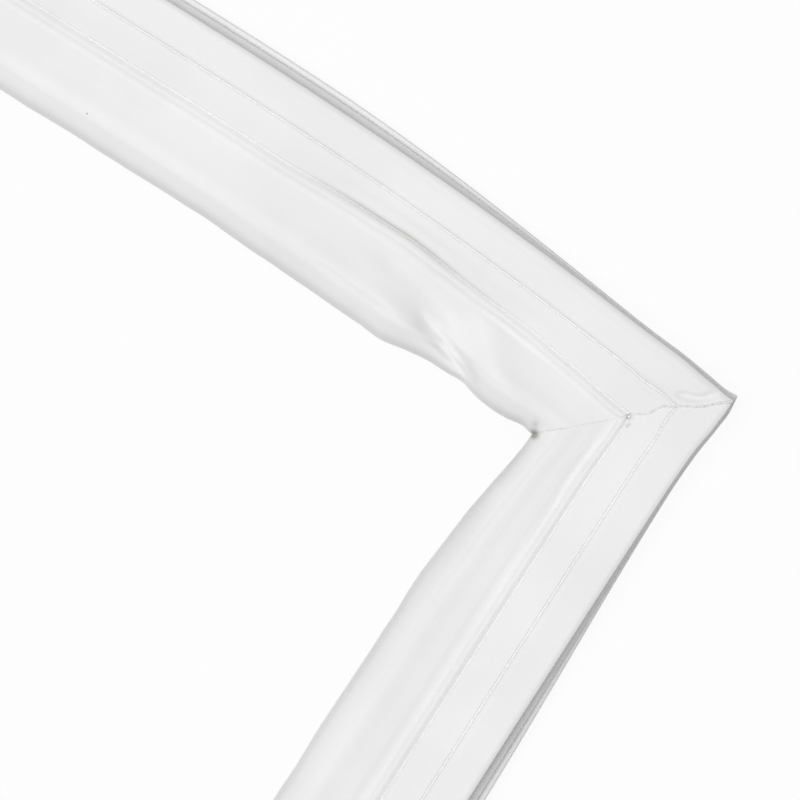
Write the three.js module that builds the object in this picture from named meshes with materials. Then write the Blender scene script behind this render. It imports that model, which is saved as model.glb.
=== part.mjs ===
// Refrigerator door gasket: four lengths of one flexible PVC profile, mitred and heat welded
// into a rectangular loop, with a magnet strip in the pocket of each length.
// It lies on its back: the retaining dart points down and the sealing face looks up (+Z).
// Lengths are in millimetres. The top and bottom lengths run along X, the side lengths along Y.
// A point of the profile has two coordinates: "inward", measured from the outer edge of the
// sealing face towards the middle of the loop, and "up", measured from the tip of the dart.

import * as THREE from 'three';
import { mergeVertices } from 'three/addons/utils/BufferGeometryUtils.js';

// Loop
const LOOP_WIDTH = 570; // over the base flanges
const LOOP_HEIGHT = 440; // over the base flanges, before the top length bows
const BOW_RISE = 10; // the middle of the top length has sprung outwards by this much
const BOW_RUN = 156; // the curved stretch at each end of the top length
const SIDE_SPREAD = 2.2; // the ends of the side lengths stand this much further out than their middles
const MITRE_RUN = 84; // from a weld to the first section that is square to its length

// Magnet strip and its pocket in the head
const STRIP_WIDTH = 7.6;
const STRIP_THICKNESS = 2.6;
const STRIP_CLEARANCE = 0.3; // all round the strip
const STRIP_SETBACK = 6; // from the weld to the end of a strip
const HEAD_WALL = 0.9;
const HEAD_EDGE = 0.5; // the small chamfers along the head

// Dart that is pushed into the slot of the door
const DART_DEPTH = 7;
const DART_TIP = 1.8;
const DART_STEM = 2.2;
const BARB_SPAN = 6;
const BARB_COUNT = 2;
const BARB_HEIGHT = 2.3; // from the start of a barb's pitch to its widest place
const BARB_LEAD = 0.7; // plain stem before the second and later barbs widen
const BARB_BACK = 0.35; // from the widest place back to the stem
const STEM_CLEAR = 1; // plain stem under the base

// Base flange that bears on the door
const BASE_THICKNESS = 1.2;
const BASE_OVERHANG = 4.4; // beyond the outer edge of the head
const BASE_INNER_LIP = 3; // beyond the inner edge of the head
const BASE_DRAWN_IN = 0.67; // the share of the overhang that is lost at a weld
const DRAW_START = 20;
const DRAW_END = 130; // from here on the base has its full overhang

// Bellows between the base and the head
const BELLOWS_HEIGHT = 6.8;
const BELLOWS_WALL = 0.8;
const FOLD_REACH = 2.3; // how far each fold bulges past the head
const FOLD_START = 0.36; // these three places are shares of the bellows' height
const FOLD_END = 0.5;
const WAIST_START = 0.8;
const FOOT_INSET = 0.6;
const WAIST_INSET = 1;

// Hollow band beside the head
const BAND_WIDTH = 8.7;
const BAND_FALL = 2.4; // how far its top falls from the head to the fin
const BAND_STEP = 0.7; // its top starts this far below the sealing face
const BAND_SAG = 2; // how far its underside is pulled below the head
const BAND_SAG_AT = 0.35; // where, as a share of its width
const BAND_WALL = 0.8;
const GROOVE_WIDTH = 0.5;
const GROOVE_DEPTH = 0.6;

// Fin that covers the gap to the inner liner
const FIN_WIDTH = 23.3;
const FIN_THICKNESS = 0.9;
const BEAD_RISE = 0.9;
const CREST_RISE = 1.3;
const FIN_CURL = 6.5; // how far its free edge hangs below its root
const BEAD_AT = 0.08; // these five places are shares of the fin's width
const VALLEY_AT = 0.17;
const SLOPE_AT = 0.42;
const CREST_AT = 0.7;
const TURN_AT = 0.91;
const SLOPE_SHARE = 0.45; // of the crest's rise
const TURN_SHARE = 0.3; // of the curl
const FIN_SHORTENING = 4.2; // the fin is this much narrower at a weld
const SHORTENING_END = 92;

// Puckers in the fin of the top length, near the right-hand weld. Each has its place, the turn
// of its long axis in degrees, its two half widths, and how far it lifts and pushes the fin.
const PUCKERS = [
  { along: 68, inward: 31, turn: -24, length: 17, width: 6.5, lift: -3.4, push: 0 },
  { along: 51, inward: 35, turn: -20, length: 13, width: 8, lift: 1.6, push: 2.2 },
  { along: 98, inward: 40, turn: 0, length: 34, width: 15, lift: 0.8, push: 1.7 },
];
const ROOT_FADE_START = 2; // from the fin's root, where puckers begin
const ROOT_FADE_END = 8;
const WELD_FADE = 12; // from the weld, where puckers have their full height

// Fineness
const FINE_SPACING = 9; // between sections, in the puckered stretch
const CORNER_SPACING = 20; // beside the same weld, in the right-hand length
const PLAIN_SPACING = 60; // beside the other welds
const FIN_SEGMENTS = 12;
const CURVE_SEGMENTS = 3;
const MERGE_DISTANCE = 1e-4;

const headWidth = STRIP_WIDTH + 2 * (STRIP_CLEARANCE + HEAD_WALL);
const pocketHeight = STRIP_THICKNESS + 2 * STRIP_CLEARANCE;
const baseTop = DART_DEPTH + BASE_THICKNESS;
const headBottom = baseTop + BELLOWS_HEIGHT;
const headTop = headBottom + pocketHeight + 2 * HEAD_WALL;
const middle = headWidth / 2;
const bandTop = headTop - BAND_STEP;
const finRoot = headWidth + BAND_WIDTH;
const finRootTop = bandTop - BAND_FALL;
const halfWidth = LOOP_WIDTH / 2 - BASE_OVERHANG;
const halfHeight = LOOP_HEIGHT / 2 - BASE_OVERHANG;

// The upper surface of the fin from its root: bead, valley, crest and curled free edge.
function finCurve() {
  const low = finRootTop - GROOVE_DEPTH;
  return new THREE.SplineCurve([
    new THREE.Vector2(finRoot, low),
    new THREE.Vector2(finRoot + BEAD_AT * FIN_WIDTH, low + BEAD_RISE),
    new THREE.Vector2(finRoot + VALLEY_AT * FIN_WIDTH, low),
    new THREE.Vector2(finRoot + SLOPE_AT * FIN_WIDTH, low + SLOPE_SHARE * CREST_RISE),
    new THREE.Vector2(finRoot + CREST_AT * FIN_WIDTH, low + CREST_RISE),
    new THREE.Vector2(finRoot + TURN_AT * FIN_WIDTH, finRootTop - TURN_SHARE * FIN_CURL),
    new THREE.Vector2(finRoot + FIN_WIDTH, finRootTop - FIN_CURL),
  ]);
}

// The lower surface of the fin lies one thickness under the upper one.
function finUnderside(curve) {
  const underside = [];
  for (let i = 0; i <= FIN_SEGMENTS; i += 1) {
    const point = curve.getPoint(i / FIN_SEGMENTS);
    const tangent = curve.getTangent(i / FIN_SEGMENTS);
    underside.push(new THREE.Vector2(
      point.x + tangent.y * FIN_THICKNESS,
      point.y - tangent.x * FIN_THICKNESS,
    ));
  }
  return underside;
}

// One side of the dart, from its tip up to the base; side is -1 or 1.
function dartSide(side) {
  const points = [new THREE.Vector2(middle + side * DART_TIP / 2, 0)];
  const pitch = (DART_DEPTH - STEM_CLEAR) / BARB_COUNT;
  const stem = middle + side * DART_STEM / 2;
  for (let i = 0; i < BARB_COUNT; i += 1) {
    const widest = i * pitch + BARB_HEIGHT;
    if (i > 0) {
      points.push(new THREE.Vector2(stem, i * pitch + BARB_LEAD));
    }
    points.push(new THREE.Vector2(middle + side * BARB_SPAN / 2, widest));
    points.push(new THREE.Vector2(stem, widest + BARB_BACK));
  }
  points.push(new THREE.Vector2(stem, DART_DEPTH));
  return points;
}

// One flank of the bellows from the base up to the head; inset is measured from its outer skin.
function bellowsFlank(side, inset) {
  const floor = baseTop + inset / 2;
  const roof = headBottom - inset / 2;
  const at = (reach, share) => new THREE.Vector2(
    middle + side * (middle + reach - inset),
    THREE.MathUtils.lerp(floor, roof, share),
  );
  return [
    at(-FOOT_INSET, 0),
    at(FOLD_REACH, FOLD_START),
    at(FOLD_REACH, FOLD_END),
    at(-WAIST_INSET, WAIST_START),
    at(-WAIST_INSET, 1),
  ];
}

// The height of the band's sloping top.
function bandUp(inward) {
  const share = (inward - headWidth - GROOVE_WIDTH) / (BAND_WIDTH - 2 * GROOVE_WIDTH);
  return bandTop - BAND_FALL * share;
}

// The whole section, with its three open chambers.
function profileShape() {
  const curve = finCurve();
  const foot = baseTop - BASE_THICKNESS / 2;
  const shape = new THREE.Shape();
  shape.setFromPoints([
    ...dartSide(1),
    new THREE.Vector2(headWidth + BASE_INNER_LIP, DART_DEPTH),
    new THREE.Vector2(headWidth + BASE_INNER_LIP + BASE_THICKNESS / 2, foot),
    new THREE.Vector2(headWidth + BASE_INNER_LIP, baseTop),
    ...bellowsFlank(1, 0),
    new THREE.Vector2(headWidth - HEAD_EDGE, headBottom),
  ]);
  shape.quadraticCurveTo(
    headWidth + BAND_SAG_AT * BAND_WIDTH, headBottom - BAND_SAG,
    finRoot, finRootTop - GROOVE_DEPTH - FIN_THICKNESS,
  );
  finUnderside(curve).slice(2).forEach((point) => shape.lineTo(point.x, point.y));
  curve.getPoints(FIN_SEGMENTS).reverse().forEach((point) => shape.lineTo(point.x, point.y));
  shape.lineTo(finRoot - GROOVE_WIDTH, finRootTop);
  shape.lineTo(headWidth + GROOVE_WIDTH, bandTop);
  shape.lineTo(headWidth, bandTop - GROOVE_DEPTH);
  shape.lineTo(headWidth - HEAD_EDGE / 2, headTop - HEAD_EDGE);
  shape.lineTo(headWidth - 2 * HEAD_EDGE, headTop);
  shape.lineTo(2 * HEAD_EDGE, headTop);
  shape.lineTo(0, headTop - HEAD_EDGE);
  shape.lineTo(0, headBottom + HEAD_EDGE);
  shape.lineTo(HEAD_EDGE, headBottom);
  [
    ...bellowsFlank(-1, 0).reverse(),
    new THREE.Vector2(-BASE_OVERHANG + BASE_THICKNESS / 2, baseTop),
    new THREE.Vector2(-BASE_OVERHANG, foot),
    new THREE.Vector2(-BASE_OVERHANG + BASE_THICKNESS / 2, DART_DEPTH),
    ...dartSide(-1).reverse(),
  ].forEach((point) => shape.lineTo(point.x, point.y));
  shape.holes.push(pocketHole(), bellowsHole(), bandHole());
  return shape;
}

function pocketHole() {
  const low = headBottom + HEAD_WALL;
  return new THREE.Path([
    new THREE.Vector2(HEAD_WALL, low),
    new THREE.Vector2(headWidth - HEAD_WALL, low),
    new THREE.Vector2(headWidth - HEAD_WALL, low + pocketHeight),
    new THREE.Vector2(HEAD_WALL, low + pocketHeight),
  ]);
}

function bellowsHole() {
  return new THREE.Path([
    ...bellowsFlank(1, BELLOWS_WALL),
    ...bellowsFlank(-1, BELLOWS_WALL).reverse(),
  ]);
}

function bandHole() {
  const left = headWidth + BAND_WALL;
  const right = finRoot - GROOVE_WIDTH - BAND_WALL;
  const path = new THREE.Path();
  path.moveTo(left, headBottom + BAND_WALL / 2);
  path.quadraticCurveTo(
    headWidth + BAND_SAG_AT * BAND_WIDTH, headBottom - BAND_SAG + BAND_WALL,
    right, finRootTop - GROOVE_DEPTH - BAND_WALL / 2,
  );
  path.lineTo(right, bandUp(right) - BAND_WALL);
  path.lineTo(left, bandUp(left) - BAND_WALL);
  return path;
}

function stripShape() {
  const low = headBottom + HEAD_WALL + STRIP_CLEARANCE;
  const outer = HEAD_WALL + STRIP_CLEARANCE;
  return new THREE.Shape([
    new THREE.Vector2(outer, low),
    new THREE.Vector2(outer + STRIP_WIDTH, low),
    new THREE.Vector2(outer + STRIP_WIDTH, low + STRIP_THICKNESS),
    new THREE.Vector2(outer, low + STRIP_THICKNESS),
  ]);
}

// Near a weld the base is drawn in under the head and the fin is shorter.
function drawnInward(inward, fromWeld) {
  if (inward < 0) {
    const loose = THREE.MathUtils.smoothstep(fromWeld, DRAW_START, DRAW_END);
    return inward * (1 - BASE_DRAWN_IN * (1 - loose));
  }
  if (inward > finRoot) {
    const short = FIN_SHORTENING * (1 - THREE.MathUtils.smoothstep(fromWeld, 0, SHORTENING_END));
    return inward - short * (inward - finRoot) / FIN_WIDTH;
  }
  return inward;
}

// How far a pucker lifts and pushes the fin, fading out to its root and to the weld.
function pucker(dent, along, inward, fromWeld) {
  const turn = THREE.MathUtils.degToRad(dent.turn);
  const run = along - dent.along;
  const cross = inward - dent.inward;
  const lengthwise = (run * Math.cos(turn) + cross * Math.sin(turn)) / dent.length;
  const crosswise = (cross * Math.cos(turn) - run * Math.sin(turn)) / dent.width;
  const fromRoot = inward - finRoot;
  const root = THREE.MathUtils.smoothstep(fromRoot, ROOT_FADE_START, ROOT_FADE_END);
  const weld = THREE.MathUtils.smoothstep(fromWeld, 0, WELD_FADE);
  return Math.exp(-lengthwise * lengthwise - crosswise * crosswise) * root * weld;
}

// The top length bows outwards, and the upper halves of the side lengths follow it. The ends of
// the side lengths spread, and the top and bottom lengths stretch with them.
function sprung(x, y, height) {
  const run = Math.max(0, (Math.abs(x) - (halfWidth - BOW_RUN)) / BOW_RUN);
  const upwards = THREE.MathUtils.smoothstep(y, 0, halfHeight - finRoot - FIN_WIDTH);
  const sideways = THREE.MathUtils.smoothstep(Math.abs(x), 0, halfWidth - finRoot - FIN_WIDTH);
  const spread = SIDE_SPREAD * (y / halfHeight) ** 2 * sideways;
  return new THREE.Vector3(
    x + Math.sign(x) * spread,
    y + BOW_RISE * (1 - run * run) * upwards,
    height,
  );
}

// The four lengths: half their run, how far out they lie, the ways inwards and along, and how
// close their sections lie at each end.
const sideOf = {
  top: {
    half: halfWidth, out: halfHeight, inward: [0, -1], along: [-1, 0],
    marks: [0, MITRE_RUN, DRAW_END, BOW_RUN], spacing: [FINE_SPACING, PLAIN_SPACING], puckered: true,
  },
  left: {
    half: halfHeight, out: halfWidth, inward: [1, 0], along: [0, -1],
    marks: [0, MITRE_RUN, DRAW_END, BOW_RUN], spacing: [PLAIN_SPACING, PLAIN_SPACING],
  },
  bottom: {
    half: halfWidth, out: halfHeight, inward: [0, 1], along: [1, 0],
    marks: [0, MITRE_RUN, DRAW_END], spacing: [PLAIN_SPACING, PLAIN_SPACING],
  },
  right: {
    half: halfHeight, out: halfWidth, inward: [-1, 0], along: [0, 1],
    marks: [0, MITRE_RUN, DRAW_END, BOW_RUN], spacing: [PLAIN_SPACING, CORNER_SPACING],
  },
};

// Distances from a weld, with sections at each mark and evenly between the marks.
function fromWeldPlaces(marks, spacing) {
  const ordered = [...new Set(marks)].sort((a, b) => a - b);
  const places = [ordered[0]];
  ordered.slice(1).forEach((mark, i) => {
    const parts = Math.ceil((mark - ordered[i]) / spacing);
    for (let k = 1; k <= parts; k += 1) {
      places.push(THREE.MathUtils.lerp(ordered[i], mark, k / parts));
    }
  });
  return places;
}

// Sections as signed places along a length, from its start weld to its end weld.
function stations(side, setback) {
  const [atStart, atEnd] = side.spacing.map((spacing) => {
    const between = (distance) => distance > setback && distance < side.half;
    const beyond = fromWeldPlaces(side.marks, spacing).filter(between);
    return [setback, ...beyond].map((distance) => side.half - distance);
  });
  return [...atStart.map((place) => -place), ...atEnd.reverse()];
}

// Where a point of the profile comes to lie in the loop.
function place(side, inward, up, station) {
  const fromWeld = side.half - Math.abs(station);
  const mitre = Math.max(0, 1 - fromWeld / MITRE_RUN);
  let across = drawnInward(inward, fromWeld);
  let height = up;
  const along = station - Math.sign(station) * mitre * across;
  if (side.puckered && station < 0) {
    const flat = across;
    PUCKERS.forEach((dent) => {
      const share = pucker(dent, side.half + along, flat, fromWeld);
      height += dent.lift * share;
      across += dent.push * share * (flat - finRoot) / FIN_WIDTH;
    });
  }
  const reach = side.out - across;
  const x = -side.inward[0] * reach + side.along[0] * along;
  const y = -side.inward[1] * reach + side.along[1] * along;
  return sprung(x, y, height);
}

// Extrudes a section through the stations of one side.
function extruded(shape, side, setback) {
  const places = stations(side, setback);
  const steps = places.length - 1;
  const geometry = new THREE.ExtrudeGeometry(shape, {
    depth: steps, steps, bevelEnabled: false, curveSegments: CURVE_SEGMENTS,
  });
  const position = geometry.getAttribute('position');
  for (let i = 0; i < position.count; i += 1) {
    const station = places[Math.round(position.getZ(i))];
    const point = place(side, position.getX(i), position.getY(i), station);
    position.setXYZ(i, point.x, point.y, point.z);
  }
  geometry.deleteAttribute('uv');
  geometry.deleteAttribute('normal');
  const merged = mergeVertices(geometry, MERGE_DISTANCE);
  merged.computeVertexNormals();
  return merged;
}

function named(name, geometry, material) {
  const mesh = new THREE.Mesh(geometry, material);
  mesh.name = name;
  return mesh;
}

const whitePvc = new THREE.MeshStandardMaterial({ color: 0xf0f0ef, roughness: 0.42, metalness: 0 });
const ferrite = new THREE.MeshStandardMaterial({ color: 0x3a332e, roughness: 0.75, metalness: 0 });

const gasket = new THREE.Group();
Object.entries(sideOf).forEach(([name, side]) => {
  gasket.add(named(`${name}_profile`, extruded(profileShape(), side, 0), whitePvc));
  gasket.add(named(`magnet_strip_${name}`, extruded(stripShape(), side, STRIP_SETBACK), ferrite));
});

// The origin is the middle of the space that the loop takes up, at the height of the dart's tip.
const centre = new THREE.Box3().setFromObject(gasket).getCenter(new THREE.Vector3());
gasket.position.set(-centre.x, -centre.y, 0);

export default gasket;
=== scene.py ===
"""A white magnetic door gasket of a refrigerator, lying on its back, seen from above at one corner.

The frame is in metres. The top and bottom lengths run along X and the side lengths along Y. A point of
the profile has two coordinates: "inward", from the outer edge of the sealing face towards the middle of
the loop, and "up", from the tip of the dart. Each length is first made straight, in a flat loop, and is
then creased, puckered and sprung into the shape that the soft loop lies in.
"""

import math

import bpy
import numpy as np
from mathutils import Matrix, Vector


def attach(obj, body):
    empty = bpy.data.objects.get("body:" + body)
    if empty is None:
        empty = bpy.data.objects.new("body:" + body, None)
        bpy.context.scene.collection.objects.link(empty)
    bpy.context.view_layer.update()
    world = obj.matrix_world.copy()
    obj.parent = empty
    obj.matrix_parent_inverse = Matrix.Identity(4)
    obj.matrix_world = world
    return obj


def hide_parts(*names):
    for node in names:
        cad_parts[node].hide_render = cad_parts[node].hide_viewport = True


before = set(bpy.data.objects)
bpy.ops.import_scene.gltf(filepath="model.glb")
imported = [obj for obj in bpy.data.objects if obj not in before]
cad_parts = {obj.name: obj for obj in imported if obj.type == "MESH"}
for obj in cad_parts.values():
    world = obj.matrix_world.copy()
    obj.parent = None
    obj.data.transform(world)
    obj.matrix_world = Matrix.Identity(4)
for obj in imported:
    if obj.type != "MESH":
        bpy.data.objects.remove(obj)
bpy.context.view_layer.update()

MM = 0.001

# The loop
LOOP_WIDTH = 570 * MM
LOOP_HEIGHT = 440 * MM
BOW_RISE = 10 * MM
BOW_RUN = 156 * MM
SIDE_SPREAD = 2.2 * MM
MITRE_RUN = 84 * MM

# The head, with its pocket for the magnet strip
HEAD_WIDTH = 10 * MM
HEAD_BOTTOM = 15 * MM
HEAD_TOP = 20 * MM
HEAD_WALL = 0.9 * MM

# The dart, the base flange and the bellows
DART_DEPTH = 7 * MM
DART_TIP = 1.8 * MM
DART_STEM = 2.2 * MM
BARB_SPAN = 6 * MM
BARB_PITCH = 3 * MM
BARB_HEIGHT = 2.3 * MM
BARB_LEAD = 0.7 * MM
BARB_BACK = 0.35 * MM
BASE_TOP = 8.2 * MM
BASE_OVERHANG = 4.4 * MM
BASE_INNER_LIP = 3 * MM
BASE_DRAWN_IN = 0.67
DRAW_START = 20 * MM
DRAW_END = 130 * MM
BELLOWS_WALL = 0.8 * MM
FOLD_REACH = 2.3 * MM
FOLD_START = 0.36
FOLD_END = 0.5
WAIST_START = 0.8
FOOT_INSET = 0.6 * MM
WAIST_INSET = 1 * MM

# The hollow band beside the head
BAND_WIDTH = 8.7 * MM
BAND_FALL = 2.4 * MM
BAND_STEP = 0.7 * MM
BAND_SAG = 2 * MM
BAND_SAG_AT = 0.35
BAND_WALL = 0.8 * MM
GROOVE_WIDTH = 0.5 * MM
GROOVE_DEPTH = 0.6 * MM

# The fin
FIN_WIDTH = 23.3 * MM
FIN_THICKNESS = 0.9 * MM
FIN_CURL = 6.5 * MM
BEAD_RISE = 0.9 * MM
CREST_RISE = 1.3 * MM
FIN_SHORTENING = 4.2 * MM
SHORTENING_END = 92 * MM

MIDDLE = HEAD_WIDTH / 2
BAND_TOP = HEAD_TOP - BAND_STEP
FIN_ROOT = HEAD_WIDTH + BAND_WIDTH
FIN_ROOT_TOP = BAND_TOP - BAND_FALL
FIN_EDGE = FIN_ROOT + FIN_WIDTH
HALF_WIDTH = LOOP_WIDTH / 2 - BASE_OVERHANG
HALF_HEIGHT = LOOP_HEIGHT / 2 - BASE_OVERHANG


# Camera
# The photograph looks straight down with a long lens, and shows the loop turned clockwise.
VIEW_TURN = math.radians(32)
VIEW_CENTRE = (211.82 * MM, 165.3 * MM)
VIEW_WIDTH = 205.1 * MM
CAMERA_HEIGHT = 1500 * MM
SENSOR_WIDTH = 36


def make_camera():
    data = bpy.data.cameras.new("camera")
    data.sensor_width = SENSOR_WIDTH
    data.lens = SENSOR_WIDTH * (CAMERA_HEIGHT - HEAD_TOP) / VIEW_WIDTH
    data.clip_start = 0.05
    data.clip_end = 20
    camera = bpy.data.objects.new("camera", data)
    camera.location = (*VIEW_CENTRE, CAMERA_HEIGHT)
    camera.rotation_euler = (0, 0, VIEW_TURN)
    bpy.context.scene.collection.objects.link(camera)
    bpy.context.scene.camera = camera


# Node trees
class Tree:
    """A node tree with short calls for its nodes, links and sums."""

    def __init__(self, tree):
        self.tree = tree

    def add(self, kind, values=(), **settings):
        """A node with its settings, and its inputs by name or number."""
        node = self.tree.nodes.new(kind)
        for name, value in settings.items():
            setattr(node, name, value)
        for key, value in dict(values).items():
            self.feed(self.socket(node.inputs, key), value)
        return node

    @staticmethod
    def socket(sockets, key):
        """A socket by number, or the first one in use of that name."""
        if isinstance(key, int):
            return sockets[key]
        return next(s for s in sockets if s.name == key and s.enabled)

    def feed(self, socket, value):
        if isinstance(value, bpy.types.NodeSocket):
            self.tree.links.new(value, socket)
        else:
            socket.default_value = value

    def out(self, kind, key=0, values=(), **settings):
        return self.socket(self.add(kind, values, **settings).outputs, key)

    def sum(self, operation, *values):
        return self.out("ShaderNodeMath", 0, dict(enumerate(values)), operation=operation)

    def smooth(self, value, low, high, start=0.0, end=1.0):
        """From start below low to end above high, with a smooth step between."""
        ends = {"Value": value, "From Min": low, "From Max": high, "To Min": start, "To Max": end}
        return self.out("ShaderNodeMapRange", 0, ends, interpolation_type="SMOOTHSTEP")

    def stored(self, geometry, name, value, data_type="FLOAT", domain="POINT"):
        values = {"Geometry": geometry, "Name": name, "Value": value}
        return self.out("GeometryNodeStoreNamedAttribute", 0, values, data_type=data_type, domain=domain)

    def named(self, name):
        return self.out("GeometryNodeInputNamedAttribute", "Attribute", {"Name": name}, data_type="FLOAT")


def new_group(name, kind, inputs, outputs):
    """A node group with named sockets, and its Tree, given values and output sockets."""
    group = bpy.data.node_groups.new(name, kind)
    for label, socket_type, default in inputs:
        socket = group.interface.new_socket(name=label, in_out="INPUT", socket_type=socket_type)
        if default is not None:
            socket.default_value = default
    for label, socket_type in outputs:
        group.interface.new_socket(name=label, in_out="OUTPUT", socket_type=socket_type)
    tree = Tree(group)
    return group, tree, tree.add("NodeGroupInput").outputs, tree.add("NodeGroupOutput").inputs


def grown(name, group, values):
    """The plain mesh that a geometry tree makes with these inputs, as an object at the origin."""
    holder = bpy.data.objects.new(name, bpy.data.meshes.new(name + "_seed"))
    bpy.context.scene.collection.objects.link(holder)
    modifier = holder.modifiers.new("tree", "NODES")
    modifier.node_group = group
    for item in group.interface.items_tree:
        if item.in_out == "INPUT" and item.name in values:
            modifier[item.identifier] = values[item.name]
    holder.update_tag()
    bpy.context.view_layer.update()
    graph = bpy.context.evaluated_depsgraph_get()
    mesh = bpy.data.meshes.new_from_object(holder.evaluated_get(graph), depsgraph=graph)
    holder.modifiers.clear()
    holder.data = mesh
    mesh.name = name
    return holder


def poly_curve(name, lines, closed):
    """A curve object with one poly spline for each list of points."""
    data = bpy.data.curves.new(name, "CURVE")
    data.dimensions = "3D"
    for points in lines:
        line = data.splines.new("POLY")
        line.points.add(len(points) - 1)
        for point, place in zip(line.points, points):
            point.co = (*place, 1)
        line.use_cyclic_u = closed
    return bpy.data.objects.new(name, data)


# Curves and steps
def smooth(value, low, high):
    """0 below low and 1 above high, with a smooth step between."""
    share = np.clip((value - low) / (high - low), 0, 1)
    return share * share * (3 - 2 * share)


def through(knots, value):
    """A smooth curve through (place, height) knots, level beyond the first and the last."""
    places, heights = np.array(knots, dtype=float).T
    slopes = np.gradient(heights, places)
    slopes[[0, -1]] = 0
    value = np.clip(value, places[0], places[-1])
    i = np.clip(np.searchsorted(places, value, side="right") - 1, 0, len(places) - 2)
    run = places[i + 1] - places[i]
    t = (value - places[i]) / run
    start = (1 - t) ** 2 * ((1 + 2 * t) * heights[i] + t * run * slopes[i])
    end = t**2 * ((3 - 2 * t) * heights[i + 1] - (1 - t) * run * slopes[i + 1])
    return start + end


def spline(knots, step):
    """Points and tangents of a smooth curve through the knots, about a step apart."""
    knots = np.array(knots, dtype=float)
    padded = np.vstack((2 * knots[0] - knots[1], knots, 2 * knots[-1] - knots[-2]))
    points, tangents = [], []
    spans = len(knots) - 1
    for i in range(spans):
        a, b, c, d = padded[i : i + 4]
        slope, bend, twist = c - a, 2 * a - 5 * b + 4 * c - d, 3 * b - a - 3 * c + d
        parts = max(1, round(np.linalg.norm(c - b) / step))
        for k in range(parts + (i == spans - 1)):
            t = k / parts
            points.append(b + 0.5 * (slope * t + bend * t**2 + twist * t**3))
            tangents.append(0.5 * (slope + 2 * bend * t + 3 * twist * t**2))
    tangents = np.array(tangents)
    return np.array(points), tangents / np.linalg.norm(tangents, axis=1)[:, None]


def bent(start, control, end, count):
    """Points of a quadratic curve, without its ends."""
    shares = [(k + 1) / (count + 1) for k in range(count)]
    start, control, end = np.array(start), np.array(control), np.array(end)
    return [(1 - t) ** 2 * start + 2 * t * (1 - t) * control + t**2 * end for t in shares]


# The section of the profile
ARC_STEP = math.radians(24)
FACE_STEP = 0.55 * MM
FIN_STEP = 0.5 * MM
FILLET_REACH = 0.45
LEAST_REACH = 1e-7

# Places across the fin, as shares of its width
BEAD_AT = 0.08
FURROW_AT = 0.17
SLOPE_AT = 0.42
SLOPE_RISE = 0.45
CREST_AT = 0.70
FALL_AT = 0.91
FALL_CURL = 0.3

# Radii of the section's corners, and the gentle swell of the band's top
TIP_ROUND = 0.3 * MM
BARB_ROUND = 0.2 * MM
STEM_ROUND = 0.15 * MM
BASE_ROUND = 0.3 * MM
LIP_ROUND = 0.2 * MM
FOOT_ROUND = 0.4 * MM
FOLD_ROUND = 0.8 * MM
WAIST_ROUND = 0.3 * MM
FACE_ROUND = 1 * MM
SHOULDER_DROP = 0.5 * MM
SWELL_AT = 0.55
SWELL_RISE = 0.18 * MM
SWELL_ROUND = 6 * MM


def filleted(corners):
    """Points along a closed path of (inward, up, radius) corners, with an arc at each one."""
    points = []
    for i, (x, y, radius) in enumerate(corners):
        here = np.array((x, y))
        before = np.array(corners[i - 1][:2]) - here
        after = np.array(corners[(i + 1) % len(corners)][:2]) - here
        before_length, after_length = np.linalg.norm(before), np.linalg.norm(after)
        before, after = before / before_length, after / after_length
        opening = math.acos(max(-1.0, min(1.0, float(before @ after))))
        reach = radius / math.tan(opening / 2) if radius else 0
        reach = min(reach, FILLET_REACH * before_length, FILLET_REACH * after_length)
        if reach < LEAST_REACH:
            points.append(here)
            continue
        steps = max(1, round((math.pi - opening) / ARC_STEP))
        low, high = here + before * reach, here + after * reach
        points += [low, *bent(low, here, high, steps - 1), high]
    return points


def closer_on_top(points):
    """Adds points to the long straight runs of the sealing face and the band."""
    fuller = []
    for here, after in zip(points, [*points[1:], points[0]]):
        fuller.append(here)
        run = np.linalg.norm(after - here)
        if min(here[1], after[1]) > FIN_ROOT_TOP - GROOVE_DEPTH and run > FACE_STEP:
            parts = math.ceil(run / FACE_STEP)
            fuller += [here + (after - here) * k / parts for k in range(1, parts)]
    return fuller


def fin_surfaces():
    """The upper and lower surface of the fin, from its root to its free edge."""
    low = FIN_ROOT_TOP - GROOVE_DEPTH
    knots = [
        (FIN_ROOT, low),
        (FIN_ROOT + BEAD_AT * FIN_WIDTH, low + BEAD_RISE),
        (FIN_ROOT + FURROW_AT * FIN_WIDTH, low),
        (FIN_ROOT + SLOPE_AT * FIN_WIDTH, low + SLOPE_RISE * CREST_RISE),
        (FIN_ROOT + CREST_AT * FIN_WIDTH, low + CREST_RISE),
        (FIN_ROOT + FALL_AT * FIN_WIDTH, FIN_ROOT_TOP - FALL_CURL * FIN_CURL),
        (FIN_EDGE, FIN_ROOT_TOP - FIN_CURL),
    ]
    upper, tangents = spline(knots, FIN_STEP)
    lower = upper + FIN_THICKNESS * np.stack((tangents[:, 1], -tangents[:, 0]), axis=1)
    return upper, lower


def dart_corners(side):
    """One side of the dart, from its tip up to the base. side is -1 or 1."""
    stem = MIDDLE + side * DART_STEM / 2
    barb = MIDDLE + side * BARB_SPAN / 2
    return [
        (MIDDLE + side * DART_TIP / 2, 0, TIP_ROUND),
        (barb, BARB_HEIGHT, BARB_ROUND),
        (stem, BARB_HEIGHT + BARB_BACK, STEM_ROUND),
        (stem, BARB_PITCH + BARB_LEAD, STEM_ROUND),
        (barb, BARB_PITCH + BARB_HEIGHT, BARB_ROUND),
        (stem, BARB_PITCH + BARB_HEIGHT + BARB_BACK, STEM_ROUND),
        (stem, DART_DEPTH, BASE_ROUND),
    ]


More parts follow.
